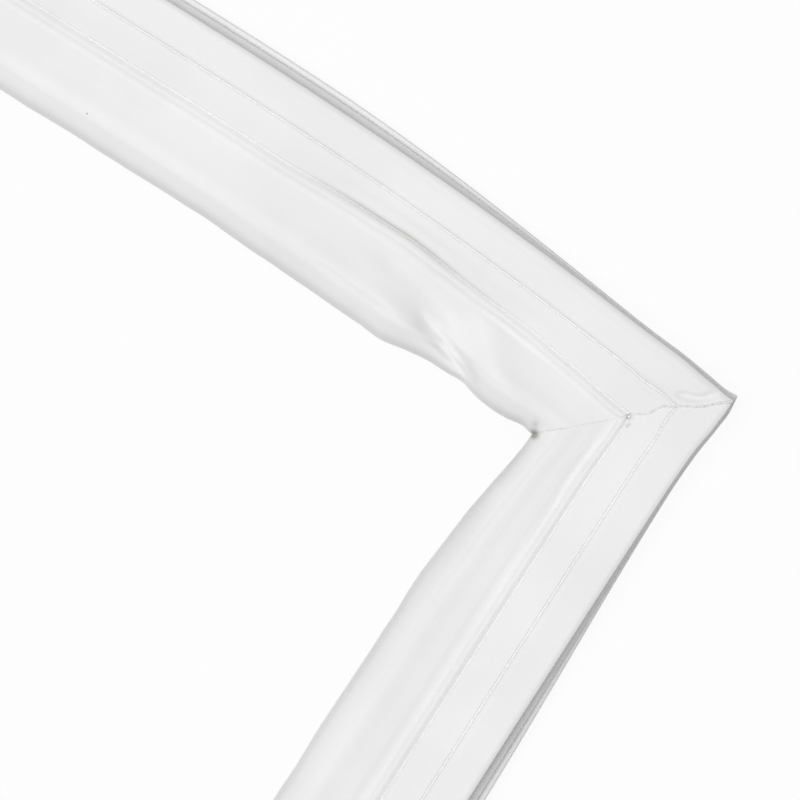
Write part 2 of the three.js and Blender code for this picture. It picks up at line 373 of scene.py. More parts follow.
def flank_corners(side, inset):
    """One flank of the bellows, from the base up to the head, moved inwards by the inset."""
    floor, roof = BASE_TOP + inset / 2, HEAD_BOTTOM - inset / 2

    def at(reach, share, radius):
        return (MIDDLE + side * (MIDDLE + reach - inset), floor + share * (roof - floor), radius)

    return [
        at(-FOOT_INSET, 0, FOOT_ROUND),
        at(FOLD_REACH, FOLD_START, FOLD_ROUND),
        at(FOLD_REACH, FOLD_END, FOLD_ROUND),
        at(-WAIST_INSET, WAIST_START, FOLD_ROUND),
        at(-WAIST_INSET, 1, WAIST_ROUND),
    ]


def band_up(inward):
    """The height of the band's sloping top."""
    share = (inward - HEAD_WIDTH - GROOVE_WIDTH) / (BAND_WIDTH - 2 * GROOVE_WIDTH)
    return BAND_TOP - BAND_FALL * share


def sealing_corners():
    """The side of the section that faces up, from the fin's free edge to the outer edge."""
    upper, _ = fin_surfaces()
    swell = FIN_ROOT - SWELL_AT * BAND_WIDTH
    return [
        *[(*point, 0) for point in upper[::-1]],
        (FIN_ROOT - 0.7 * GROOVE_WIDTH, FIN_ROOT_TOP, 0.35 * MM),
        (swell, band_up(swell) + SWELL_RISE, SWELL_ROUND),
        (HEAD_WIDTH + GROOVE_WIDTH, BAND_TOP, 0.3 * MM),
        (HEAD_WIDTH, BAND_TOP - GROOVE_DEPTH, 0.08 * MM),
        (HEAD_WIDTH - 0.25 * MM, HEAD_TOP - SHOULDER_DROP, 0.1 * MM),
        (HEAD_WIDTH - FACE_ROUND, HEAD_TOP, FACE_ROUND),
        (FACE_ROUND, HEAD_TOP, FACE_ROUND),
        (0, HEAD_TOP - SHOULDER_DROP, SHOULDER_DROP),
    ]


def outer_outline():
    """The whole outside of the section, from the dart round by the fin and back."""
    _, lower = fin_surfaces()
    half_base = (BASE_TOP - DART_DEPTH) / 2
    foot = BASE_TOP - half_base
    lip = HEAD_WIDTH + BASE_INNER_LIP
    start = (HEAD_WIDTH - 0.2 * MM, HEAD_BOTTOM)
    control = (HEAD_WIDTH + BAND_SAG_AT * BAND_WIDTH, HEAD_BOTTOM - BAND_SAG)
    underside = [start, *bent(start, control, lower[0], 7), *lower[2:-1:2], lower[-1]]
    corners = [
        *dart_corners(1),
        (lip, DART_DEPTH, LIP_ROUND),
        (lip + half_base, foot, BASE_ROUND),
        (lip, BASE_TOP, LIP_ROUND),
        *flank_corners(1, 0),
        *[(*point, 0) for point in underside],
        *sealing_corners(),
        (0, HEAD_BOTTOM + SHOULDER_DROP, FOOT_ROUND),
        (SHOULDER_DROP, HEAD_BOTTOM, LIP_ROUND),
        *flank_corners(-1, 0)[::-1],
        (-BASE_OVERHANG + half_base, BASE_TOP, BASE_ROUND),
        (-BASE_OVERHANG, foot, BASE_ROUND),
        (-BASE_OVERHANG + half_base, DART_DEPTH, BASE_ROUND),
        *dart_corners(-1)[::-1],
    ]
    return closer_on_top(filleted(corners))


def pocket_outline():
    low, high = HEAD_BOTTOM + HEAD_WALL, HEAD_TOP - HEAD_WALL
    left, right = HEAD_WALL, HEAD_WIDTH - HEAD_WALL
    return [(left, low), (left, high), (right, high), (right, low)]


def bellows_outline():
    flanks = [*flank_corners(1, BELLOWS_WALL), *flank_corners(-1, BELLOWS_WALL)[::-1]]
    return filleted(flanks)[::-1]


def band_outline():
    left = HEAD_WIDTH + BAND_WALL
    right = FIN_ROOT - GROOVE_WIDTH - BAND_WALL
    start = (left, HEAD_BOTTOM + BAND_WALL / 2)
    control = (HEAD_WIDTH + BAND_SAG_AT * BAND_WIDTH, HEAD_BOTTOM - BAND_SAG + BAND_WALL)
    end = (right, FIN_ROOT_TOP - GROOVE_DEPTH - BAND_WALL / 2)
    roof = [(right, band_up(right) - BAND_WALL), (left, band_up(left) - BAND_WALL)]
    return [start, *bent(start, control, end, 5), end, *roof][::-1]


def make_section():
    """The outer outline runs one way round and the chambers run the other way."""
    outlines = (outer_outline(), pocket_outline(), bellows_outline(), band_outline())
    return poly_curve("section", [[(x, y, 0) for x, y in outline] for outline in outlines], True)


# A straight mitred length of the profile
MERGE_DISTANCE = 2e-6


def length_tree():
    """Sweeps the section along a rail and cuts both ends to a mitre."""
    sizes = {
        "Half Length": HALF_WIDTH, "Outer Edge": HALF_HEIGHT, "Side Turn": 0.0, "Mitre Run": MITRE_RUN,
        "Base Drawn In": BASE_DRAWN_IN, "Draw Start": DRAW_START, "Draw End": DRAW_END,
        "Fin Root": FIN_ROOT, "Fin Width": FIN_WIDTH, "Fin Shortening": FIN_SHORTENING,
        "Shortening End": SHORTENING_END,
    }
    inputs = [("Section", "NodeSocketObject", None), ("Rail", "NodeSocketObject", None)]
    inputs += [(name, "NodeSocketFloat", value) for name, value in sizes.items()]
    inputs += [("Material", "NodeSocketMaterial", None)]
    group, t, given, result = new_group(
        "profile_length", "GeometryNodeTree", inputs, [("Geometry", "NodeSocketGeometry")]
    )
    half = given["Half Length"]
    place = t.add("ShaderNodeSeparateXYZ", {0: t.out("GeometryNodeInputPosition")}).outputs
    section = t.out("GeometryNodeObjectInfo", "Geometry", {"Object": given["Section"]})
    girth = t.out("GeometryNodeSplineParameter", "Length")
    outline = t.stored(t.stored(t.stored(section, "inward", place[0]), "up", place[1]), "girth", girth)
    rail = t.out("GeometryNodeObjectInfo", "Geometry", {"Object": given["Rail"]})
    rail = t.stored(rail, "station", place[2])
    walls = t.out("GeometryNodeCurveToMesh", 0, {"Curve": rail, "Profile Curve": outline})
    flat = t.out("GeometryNodeFillCurve", 0, {"Curve": section})
    flat = t.stored(t.stored(t.stored(flat, "inward", place[0]), "up", place[1]), "girth", 0.0)
    end_cap = t.stored(flat, "station", half)
    start_cap = t.stored(flat, "station", t.sum("MULTIPLY", half, -1.0))
    start_cap = t.out("GeometryNodeFlipFaces", 0, {"Mesh": start_cap})
    joined = t.add("GeometryNodeJoinGeometry")
    for part in (walls, end_cap, start_cap):
        t.tree.links.new(part, joined.inputs[0])

    inward, station = t.named("inward"), t.named("station")
    from_weld = t.sum("SUBTRACT", half, t.sum("ABSOLUTE", station))
    mitre = t.sum("MAXIMUM", 0.0, t.sum("SUBTRACT", 1.0, t.sum("DIVIDE", from_weld, given["Mitre Run"])))
    drawn = t.smooth(from_weld, given["Draw Start"], given["Draw End"], given["Base Drawn In"], 0.0)
    outside = t.sum("MULTIPLY", t.sum("MINIMUM", inward, 0.0), t.sum("SUBTRACT", 1.0, drawn))
    short = t.smooth(from_weld, 0.0, given["Shortening End"], given["Fin Shortening"], 0.0)
    past_root = t.sum("MAXIMUM", 0.0, t.sum("SUBTRACT", inward, given["Fin Root"]))
    pulled = t.sum("MULTIPLY", short, t.sum("DIVIDE", past_root, given["Fin Width"]))
    across = t.sum("ADD", outside, t.sum("SUBTRACT", t.sum("MAXIMUM", inward, 0.0), pulled))
    cut = t.sum("MULTIPLY", t.sum("SIGN", station), t.sum("MULTIPLY", mitre, across))
    along = t.sum("SUBTRACT", station, cut)
    lying = t.out("ShaderNodeCombineXYZ", 0, {
        0: t.sum("MULTIPLY", along, -1.0),
        1: t.sum("SUBTRACT", given["Outer Edge"], across),
        2: t.named("up"),
    })
    turned = t.out("ShaderNodeVectorRotate", 0, {"Vector": lying, "Angle": given["Side Turn"]},
                   rotation_type="Z_AXIS")
    unrolled = t.out("ShaderNodeCombineXYZ", 0, {0: along, 1: t.named("girth")})
    shaped = t.stored(joined.outputs[0], "UVMap", unrolled, "FLOAT2", "CORNER")
    shaped = t.out("GeometryNodeSetPosition", 0, {"Geometry": shaped, "Position": turned})
    for name in ("inward", "up", "girth", "station"):
        shaped = t.out("GeometryNodeRemoveAttribute", 0, {"Geometry": shaped, "Name": name})
    welded = t.out("GeometryNodeMergeByDistance", 0, {"Geometry": shaped, "Distance": MERGE_DISTANCE})
    real = t.out("GeometryNodeRealizeInstances", 0, {"Geometry": welded})
    t.feed(result[0], t.out("GeometryNodeSetMaterial", 0, {"Geometry": real, "Material": given["Material"]}))
    return group


# How close the sections lie: the first step at a weld, the longest step near it, and how far that
# stretch runs.
PLAIN_WELD = (0.3 * MM, 2 * MM, 40 * MM)
PUCKERED_WELD = (0.12 * MM, 0.85 * MM, 116 * MM)
NEXT_WELD = (0.12 * MM, 0.9 * MM, 125 * MM)
STEP_GROWTH = 0.05
LONGEST_STEP = 8 * MM


def weld_distances(half, first, fine, stretch):
    """Distances of the sections from a weld, further and further apart."""
    places = [0.0]
    while places[-1] < half:
        gone = places[-1]
        near = min(fine, first + STEP_GROWTH * gone)
        beyond = max(0.0, gone - stretch)
        places.append(gone + min(LONGEST_STEP, near + STEP_GROWTH * beyond))
    return places[:-1]


def make_rail(half, start_weld, end_weld):
    start = [gone - half for gone in weld_distances(half, *start_weld)]
    end = [half - gone for gone in weld_distances(half, *end_weld)]
    return poly_curve("rail", [[(0, 0, z) for z in [*start, *end[::-1]]]], False)


# The four lengths, as quarter turns from the top one, with the welds at their start and end
SIDES = {
    "top": (0, HALF_WIDTH, HALF_HEIGHT, PUCKERED_WELD, PLAIN_WELD),
    "left": (1, HALF_HEIGHT, HALF_WIDTH, PLAIN_WELD, PLAIN_WELD),
    "bottom": (2, HALF_WIDTH, HALF_HEIGHT, PLAIN_WELD, PLAIN_WELD),
    "right": (3, HALF_HEIGHT, HALF_WIDTH, PLAIN_WELD, NEXT_WELD),
}


def make_lengths(material):
    tree = length_tree()
    section = make_section()
    lengths = {}
    for name, (turns, half_length, outer_edge, start_weld, end_weld) in SIDES.items():
        rail = make_rail(half_length, start_weld, end_weld)
        lengths[name] = grown(name + "_length", tree, {
            "Section": section,
            "Rail": rail,
            "Half Length": half_length,
            "Outer Edge": outer_edge,
            "Side Turn": turns * math.pi / 2,
            "Material": material,
        })
        bpy.data.objects.remove(rail)
    bpy.data.objects.remove(section)
    return lengths


# Shaping the soft loop
# Near the puckered corner a point of the flat loop has two distances in millimetres: "run", from the
# outer edge of the right-hand length, and "deep", from the outer edge of the top length. The mitre is
# where the two are equal. On the top length the first is the distance along and the second is the
# distance inward, and on the right-hand length it is the other way round.

# The welded seam wanders from the mitre: how far towards the top length, by the place along the mitre
SEAM = [
    (-2.3, -0.1), (-1.3, -0.3), (0.3, -1.1), (3.2, -1.2), (4.7, -1.35), (6.3, -1.2), (8.3, -0.67),
    (9.7, -0.3), (10.9, -0.35), (12.2, 0.1), (13.2, 0.0), (14.4, -0.6), (15.9, -1.1), (17.7, -0.7),
    (19.1, -0.6), (20.6, -0.9), (22.3, -1.1), (26.8, -1.3), (38.0, -1.45),
]
SEAM_FADE = 14
SEAM_DEPTH = 0.28
SEAM_HALF_WIDTH = 0.32

# The outer edges spread towards the tip of the corner
TIP_SPREAD = 0.9
TIP_RUN = 30
TIP_START = -1
TIP_DEPTH = 6

# Pits where the lines and the fins end at the seam: run, deep, half width and lift
PITS = [(37.3, 37.6, 1.0, -2.0), (38.4, 35.6, 0.9, -0.6), (18.9, 19.5, 0.55, -1.2), (18.0, 21.4, 0.5, -0.9)]

# The depth of a pit or pinch at which the shade painted into it is at its darkest
PAINTED_SHADE_DEPTH = 1.3

# The groove between band and fin: how far it wanders, and how deep it is pinched, by the distance along
FIN_LINE = FIN_ROOT / MM - 0.3
FIN_LINE_SHIFT = [
    (0, 0), (30, 0), (42, -0.3), (51, -1.0), (62, -0.8), (70, -0.8), (80, -1.3), (89, -1.7), (97, -1.4),
    (106, -1.1), (116, -0.6), (130, 0),
]
FIN_LINE_PINCH = [(52, 0), (62, 0.15), (74, 0.45), (82, 0.9), (104, 0.9), (114, 0.5), (126, 0)]
PINCH_HALF_WIDTH = 0.5

# Distances inward over which the profile comes to move with that groove, and stops moving with it
FIN_LINE_NEARS = (11.5, 16.5)
FIN_LINE_LEAVES = (21, 27)

# How far the fin's free edge stands further in, by the distance along
TOP_EDGE = [
    (38, 0), (41, -0.2), (45, 0.9), (50, 1.4), (55, 0.9), (59, -0.3), (64, -0.5), (70, -0.65), (76, -0.3),
    (81, 0.4), (90, 0.5), (105, 0.6), (125, 0.3), (150, 0),
]
RIGHT_EDGE = [(38, 0), (45, -0.2), (55, -0.3), (65, -0.1), (75, -0.4), (85, -0.5), (110, -0.3), (140, 0)]

# Broad puckers of the fin: distance along, inward, turn of the long axis in degrees, the two half
# widths, and the lift
TOP_PUCKERS = [
    (68, 31, -24, 17, 6.5, -3.0),
    (50, 35, -20, 12, 8, 1.6),
    (98, 40, 0, 30, 15, 0.8),
    (79, 36, -12, 8, 3.4, 0.8),
    (56, 29.5, -30, 8, 4, 0.7),
    (89.9, 24, 0, 4.5, 2.4, -0.55),
    (97, 27.5, -20, 6, 3, 0.25),
]
RIGHT_PUCKERS = [
    (71, 41.5, 0, 13, 4, -1.7),
    (95, 42, 0, 14, 5, 0.5),
]

# Sharp folds: the path in distances along and inward, the lift, and the half width on each side
TOP_FOLDS = [
    ([(80, 30.2), (75.9, 32.2), (69.2, 33.6), (64, 34.6), (60.2, 35.8), (57, 37.4), (53, 39.5)],
     -1.9, 1.5, 3.2),
    ([(73, 36.2), (69.5, 35.6), (65, 36.2), (60.4, 37.2), (56.4, 38.6)], -0.8, 0.7, 1.1),
    ([(109, 35), (98.6, 35.7), (91, 35.9), (82, 35.2)], -0.35, 1.2, 1.2),
    ([(84, 21.2), (76.9, 21.4), (69.2, 20.7), (63.3, 21), (53.5, 22.2), (44, 22)], -0.45, 1.2, 1.6),
    ([(12.5, 8.4), (11.4, 7.3), (9.3, 5.6), (6.2, 3.6), (4.8, 2.1), (3.3, 0.3)], -0.75, 0.6, 1.5),
]
RIGHT_FOLDS = [
    ([(27, 22.2), (40, 22.6), (56, 21.8), (66, 21.2)], -0.35, 1.2, 1.4),
]
PATH_STEP = 1.5

# Shares of a fold's path over which it rises and dies away
FOLD_RISES = (-0.02, 0.25)
FOLD_DIES = (0.75, 1.02)

# Where a shape comes in: the height above which it is on top, the distances from the seam, and the
# distance inward from the fin's root
ON_TOP = (8.5, 12)
FOLDS_FROM_SEAM = (-1, 3)
EDGE_FROM_SEAM = (0, 4)
PUCKERS_FROM_SEAM = (0, 12)
WAVES_FROM_SEAM = (4, 20)
PUCKERS_FROM_ROOT = (2, 8)
MOST_PAST_ROOT = 1.1

# Each length's own shape near the corner, with the first of the two seeds of its gentle waves
TOP_SHAPE = (TOP_PUCKERS, TOP_FOLDS, TOP_EDGE, 3)
RIGHT_SHAPE = (RIGHT_PUCKERS, RIGHT_FOLDS, RIGHT_EDGE, 8)
WAVE_LENGTH = 46
WAVE_LIFT = 0.22
WAVE_PUSH = 0.18
WAVE_PUSH_LENGTH = 0.8 * WAVE_LENGTH
WAVE_SINES = 5
WAVE_QUICKENS = 0.7
FULL_TURN = 6.28


def pucker_share(at_along, at_inward, turn, length, width, along, inward):
    """1 in the middle of a turned oval, and less with the distance from it."""
    turn = math.radians(turn)
    off_along, off_inward = along - at_along, inward - at_inward
    lengthwise = (off_along * math.cos(turn) + off_inward * math.sin(turn)) / length
    crosswise = (off_inward * math.cos(turn) - off_along * math.sin(turn)) / width
    return np.exp(-(lengthwise**2) - crosswise**2)


def fold_share(path, near, far, along, inward):
    """1 on the path, and less with the distance from it and towards its two ends."""
    knots, _ = spline(path, PATH_STEP)
    steps = np.diff(knots, axis=0)
    lengths = np.hypot(*steps.T)
    gone = np.r_[0, np.cumsum(lengths)]
    best = np.full(along.shape, np.inf)
    side, share = np.zeros(along.shape), np.zeros(along.shape)
    for start, step, length, before in zip(knots, steps, lengths, gone):
        ahead = step / length
        off_along, off_inward = along - start[0], inward - start[1]
        t = np.clip(off_along * ahead[0] + off_inward * ahead[1], 0, length)
        distance = np.hypot(off_along - t * ahead[0], off_inward - t * ahead[1])
        closer = distance < best
        best = np.where(closer, distance, best)
        side = np.where(closer, ahead[0] * off_inward - ahead[1] * off_along, side)
        share = np.where(closer, (before + t) / gone[-1], share)
    width = np.where(side > 0, near, far)
    ends = smooth(share, *FOLD_RISES) * (1 - smooth(share, *FOLD_DIES))
    return np.exp(-((best / width) ** 2)) * ends


def waves(along, seed, longest):
    """A gentle wander between about -1 and 1, made of a few sines."""
    random = np.random.default_rng(seed)
    total = np.zeros(along.shape)
    for k in range(WAVE_SINES):
        start = random.uniform(0, FULL_TURN)
        total += np.sin(along * 2 * math.pi * (1 + WAVE_QUICKENS * k) / longest + start) / (1 + k)
    return total / 2


def shape_corner(points, along_top):
    """Puckers, folds, the wandering seam and the painted shade of the pinched groove and pits of the
    puckered corner, in the flat loop.
    """
    run = (HALF_WIDTH - points[:, 0]) / MM
    deep = (HALF_HEIGHT - points[:, 1]) / MM
    up = points[:, 2] / MM
    along, inward = (run, deep) if along_top else (deep, run)
    puckers, folds, edge, seed = TOP_SHAPE if along_top else RIGHT_SHAPE
    from_seam = (along - inward) / (1 - inward * MM / MITRE_RUN)
    root, width = FIN_ROOT / MM, FIN_WIDTH / MM
    on_top = smooth(up, *ON_TOP)
    past_seam = smooth(from_seam, *FOLDS_FROM_SEAM)
    out = smooth(from_seam, *PUCKERS_FROM_SEAM)
    lift, push, painted_shade = np.zeros(run.shape), np.zeros(run.shape), np.zeros(run.shape)
    for at_along, at_inward, turn, long_way, short_way, height in puckers:
        share = pucker_share(at_along, at_inward, turn, long_way, short_way, along, inward)
        lift += height * share * smooth(inward - root, *PUCKERS_FROM_ROOT) * out
    for path, height, near, far in folds:
        lift += height * fold_share(path, near, far, along, inward) * past_seam * on_top
    past_root = np.clip((inward - root) / width, 0, MOST_PAST_ROOT)
    push += through(edge, along) * past_root * smooth(from_seam, *EDGE_FROM_SEAM)
    if along_top:
        beside = smooth(inward, *FIN_LINE_NEARS) * (1 - smooth(inward, *FIN_LINE_LEAVES))
        shift = through(FIN_LINE_SHIFT, along)
        pinch = np.exp(-(((inward + shift * beside - FIN_LINE - shift) / PINCH_HALF_WIDTH) ** 2))
        pinched = through(FIN_LINE_PINCH, along) * pinch * on_top
        lift -= pinched
        # Painted shade: the pinched groove between band and fin is darkened in colour where it is deepest.
        painted_shade += pinched * pinch**2
        push += shift * beside
    ripple = smooth(from_seam, *WAVES_FROM_SEAM) * past_root
    lift += WAVE_LIFT * waves(along, seed, WAVE_LENGTH) * ripple
    push += WAVE_PUSH * waves(along, seed + 1, WAVE_PUSH_LENGTH) * ripple
    lift -= SEAM_DEPTH * np.exp(-((from_seam / SEAM_HALF_WIDTH) ** 2)) * on_top
    for at_run, at_deep, half_width, height in PITS:
        pit = height * np.exp(-(((run - at_run) ** 2 + (deep - at_deep) ** 2) / half_width**2)) * on_top
        lift += pit
        # Painted shade: each sunken pit is darkened in colour by its depth.
        painted_shade -= pit
    inward = inward + push
    run, deep = (along, inward) if along_top else (inward, along)
    return seamed(run, deep, up + lift), np.clip(painted_shade / PAINTED_SHADE_DEPTH, 0, 1)


def seamed(run, deep, up):
    """Points of the flat loop, with the seam's wander and the outer edges spread at the tip."""
    middle, off = (run + deep) / 2, np.abs(run - deep) / math.sqrt(2)
    slide = through(SEAM, middle) * (1 - smooth(off, 0, SEAM_FADE)) / math.sqrt(2)
    deeper = TIP_SPREAD * (1 - smooth(run, 0, TIP_RUN)) * (1 - smooth(deep, TIP_START, TIP_DEPTH))
    further = TIP_SPREAD * (1 - smooth(deep, 0, TIP_RUN)) * (1 - smooth(run, TIP_START, TIP_DEPTH))
    run, deep = run + slide - further, deep - slide - deeper
    return np.stack((HALF_WIDTH - run * MM, HALF_HEIGHT - deep * MM, up * MM), axis=1)


def sprung(points):
    """The top length bows outwards and the side lengths spread, with the rest following them."""
    x, y, z = points.T
    run = np.maximum(0, (np.abs(x) - (HALF_WIDTH - BOW_RUN)) / BOW_RUN)
    upwards = smooth(y, 0, HALF_HEIGHT - FIN_EDGE)
    sideways = smooth(np.abs(x), 0, HALF_WIDTH - FIN_EDGE)
    wider = x + np.sign(x) * SIDE_SPREAD * (y / HALF_HEIGHT) ** 2 * sideways
    higher = y + BOW_RISE * (1 - run**2) * upwards - BOW_RISE / 2
    return np.stack((wider, higher, z), axis=1)


def get_points(mesh):
    points = np.empty(len(mesh.vertices) * 3)
    mesh.vertices.foreach_get("co", points)
    return points.reshape(-1, 3)


def set_points(mesh, points):
    mesh.vertices.foreach_set("co", points.ravel())
    mesh.update()


def shape_length(side, mesh):
    """Gives a flat length its place in the sprung loop, and the puckered corner its shape."""
    points = get_points(mesh)
    painted_shade = np.zeros(len(points))
    if side == "top":
        near = points[:, 0] > 0
        points[near], painted_shade[near] = shape_corner(points[near], True)
    if side == "right":
        near = points[:, 1] > 0
        points[near], painted_shade[near] = shape_corner(points[near], False)
    set_points(mesh, sprung(points))
    # The attribute carries the painted shade of the pinched groove and the pits.
    mesh.attributes.new("painted_shade", "FLOAT", "POINT").data.foreach_set("value", painted_shade)


SMOOTH_ANGLE = math.radians(75)


def finish_surface(mesh):
    mesh.shade_smooth()
    mesh.set_sharp_from_angle(angle=SMOOTH_ANGLE)


# The bead of plastic that the welding squeezed out along each seam
BEAD_RADIUS = 0.38 * MM
BEAD_WANDER = 0.5 * MM
BEAD_STEP = 0.25 * MM
BEAD_SUNK = 0.06 * MM
BEAD_GRAIN = 700
BEAD_GRAIN_RANGE = (0.35, 0.65)
BEAD_THINNEST = 0.3
BEAD_SEED = 3.0
BEAD_SIDES = 8


def bead_tree():
    """An uneven bead along a path."""
    sizes = {
        "Radius": BEAD_RADIUS, "Wander": BEAD_WANDER, "Step": BEAD_STEP, "Grain": BEAD_GRAIN, "Seed": 0.0,
    }
    inputs = [("Path", "NodeSocketObject", None)]
    inputs += [(name, "NodeSocketFloat", value) for name, value in sizes.items()]
    inputs += [("Material", "NodeSocketMaterial", None)]
    group, t, given, result = new_group(
        "weld_bead", "GeometryNodeTree", inputs, [("Geometry", "NodeSocketGeometry")]
    )
    path = t.out("GeometryNodeObjectInfo", "Geometry", {"Object": given["Path"]})
    path = t.add("GeometryNodeResampleCurve", {"Curve": path}, mode="LENGTH")
    t.feed(t.socket(path.inputs, "Length"), given["Step"])
    grain = t.add("ShaderNodeTexNoise", {"W": given["Seed"], "Scale": given["Grain"]}, noise_dimensions="4D")
    centred = t.out("ShaderNodeVectorMath", 0, {0: grain.outputs["Color"], 1: (0.5, 0.5, 0.5)},
                    operation="SUBTRACT")
    offset = t.out("ShaderNodeVectorMath", 0, {0: centred, "Scale": given["Wander"]}, operation="SCALE")
    wandering = t.out("GeometryNodeSetPosition", 0, {"Geometry": path.outputs[0], "Offset": offset})
    thick = t.smooth(grain.outputs["Fac"], *BEAD_GRAIN_RANGE, BEAD_THINNEST, 1.0)
    round_section = t.out("GeometryNodeCurvePrimitiveCircle", 0, {"Resolution": BEAD_SIDES, "Radius": 1.0})
    bead = t.out("GeometryNodeCurveToMesh", 0, {
        "Curve": wandering,
        "Profile Curve": round_section,
        "Scale": t.sum("MULTIPLY", thick, given["Radius"]),
        "Fill Caps": True,
    })
    real = t.out("GeometryNodeRealizeInstances", 0, {"Geometry": bead})
    t.feed(result[0], t.out("GeometryNodeSetMaterial", 0, {"Geometry": real, "Material": given["Material"]}))
    return group


def make_beads(material):
    """One bead on the face of each corner, from the outer edge to the groove at the fin."""
    tree = bead_tree()
    face = [(x, y) for x, y, _ in sealing_corners() if x <= FIN_ROOT]
    beads = []
    for number, (name, along, across) in enumerate((
        ("top_right", 1, 1), ("top_left", -1, 1), ("bottom_left", -1, -1), ("bottom_right", 1, -1),
    )):
        points = [(along * (HALF_WIDTH - x), across * (HALF_HEIGHT - x), y - BEAD_SUNK) for x, y in face]
        path = poly_curve("path", [points], False)
        bead = grown(name + "_weld_bead", tree, {
            "Path": path,
            "Seed": BEAD_SEED + number,
            "Material": material,
        })
        bpy.data.objects.remove(path)
        places = get_points(bead.data)
        if name == "top_right":
            run, deep = (HALF_WIDTH - places[:, 0]) / MM, (HALF_HEIGHT - places[:, 1]) / MM
            places = seamed(run, deep, places[:, 2] / MM)
        set_points(bead.data, sprung(places))
        beads.append(bead)
    return beads


# Materials
# Every pattern reads the object's own coordinates in metres, the UV map of the extruded lengths, or
# their attribute of painted shade.
WHITE = (1, 1, 1, 1)
PVC_LIGHT = (0.89, 0.89, 0.888, 1)
PVC_DULL = (0.855, 0.857, 0.855, 1)
PVC_STREAK = (0.80, 0.80, 0.795, 1)
PVC_IOR = 1.45
DUST = (0.30, 0.29, 0.28, 1)
# Painted shade: the grey that the pinched groove and the pits are darkened towards.
PAINTED_SHADE_GREY = (0.5, 0.49, 0.48, 1)
WELD_LIGHT = (0.86, 0.86, 0.855, 1)
WELD_DULL = (0.76, 0.76, 0.75, 1)
FERRITE_LIGHT = (0.05, 0.04, 0.035, 1)
FERRITE_DARK = (0.035, 0.028, 0.025, 1)
FERRITE_SPECK = (0.14, 0.13, 0.12, 1)

# The part of each noise's range that a blend uses, and how far the blend goes
DULL_RANGE = (0.35, 0.7)
STREAK_RANGE = (0.55, 0.75)
STREAK_MOST = 0.5
DUST_MOST = 0.75
FERRITE_SPECK_MOST = 0.4
FINE_RANGE = (0.3, 0.7)
PVC_ROUGHNESS = (0.55, 0.68)
WELD_ROUGHNESS = (0.35, 0.5)
FERRITE_ROUGHNESS = (0.6, 0.8)
LINES_IN_GRAIN = 0.6
FINE_IN_GRAIN = 0.4

# How many of the cells hold no speck, and how coarse the streaks are beside the drawn lines
EMPTY_CELLS = 0.82
STREAK_SCALE = 0.18


def uneven_group():
    """Broad and fine unevenness, and sparse small specks."""
    group, t, given, result = new_group(
        "uneven_surface", "ShaderNodeTree",
        [("Position", "NodeSocketVector", None), ("Broad Scale", "NodeSocketFloat", 30.0),
         ("Fine Scale", "NodeSocketFloat", 900.0), ("Speck Scale", "NodeSocketFloat", 120.0),
         ("Speck Size", "NodeSocketFloat", 0.03)],
        [("Broad", "NodeSocketFloat"), ("Fine", "NodeSocketFloat"), ("Specks", "NodeSocketFloat")],
    )
    broad = t.out("ShaderNodeTexNoise", "Fac",
                  {"Vector": given["Position"], "Scale": given["Broad Scale"], "Detail": 3.0})
    fine = t.out("ShaderNodeTexNoise", "Fac",
                 {"Vector": given["Position"], "Scale": given["Fine Scale"], "Detail": 4.0})
    cells = t.add("ShaderNodeTexVoronoi", {"Vector": given["Position"], "Scale": given["Speck Scale"]})
    near = t.sum("LESS_THAN", cells.outputs["Distance"], given["Speck Size"])
    chance = t.out("ShaderNodeSeparateColor", 0, {0: cells.outputs["Color"]})
    rare = t.sum("GREATER_THAN", chance, EMPTY_CELLS)
    t.feed(result["Broad"], broad)
    t.feed(result["Fine"], fine)
    t.feed(result["Specks"], t.sum("MULTIPLY", near, rare))
    return group


def drawn_group():
    """Lines that the die left along an extrusion, from its unrolled coordinates."""
    group, t, given, result = new_group(
        "extrusion_lines", "ShaderNodeTree",
        [("Unrolled", "NodeSocketVector", None), ("Lines", "NodeSocketFloat", 1400.0),
         ("Stretch", "NodeSocketFloat", 0.01)],
        [("Height", "NodeSocketFloat"), ("Streaks", "NodeSocketFloat")],
    )
    place = t.add("ShaderNodeSeparateXYZ", {0: given["Unrolled"]}).outputs
    squeezed = t.sum("MULTIPLY", place[0], given["Stretch"])
    drawn_out = t.out("ShaderNodeCombineXYZ", 0, {0: squeezed, 1: place[1]})
    lines = t.out("ShaderNodeTexNoise", "Fac", {"Vector": drawn_out, "Scale": given["Lines"], "Detail": 2.0})
    wide = t.sum("MULTIPLY", given["Lines"], STREAK_SCALE)
    streaks = t.out("ShaderNodeTexNoise", "Fac", {"Vector": drawn_out, "Scale": wide, "Detail": 2.0})
    t.feed(result["Height"], lines)
    t.feed(result["Streaks"], streaks)
    return group


def placed(t, group, values):
    node = t.add("ShaderNodeGroup", node_tree=group)
    for name, value in values.items():
        t.feed(node.inputs[name], value)
    return node.outputs


def blended(t, share, first, second):
    node = t.add("ShaderNodeMix", data_type="RGBA")
    for name, value in (("Factor", share), ("A", first), ("B", second)):
        t.feed(t.socket(node.inputs, name), value)
    return t.socket(node.outputs, "Result")


def new_material(name):
    material = bpy.data.materials.new(name)
    material.use_nodes = True
    t = Tree(material.node_tree)
    return material, t, material.node_tree.nodes["Principled BSDF"].inputs


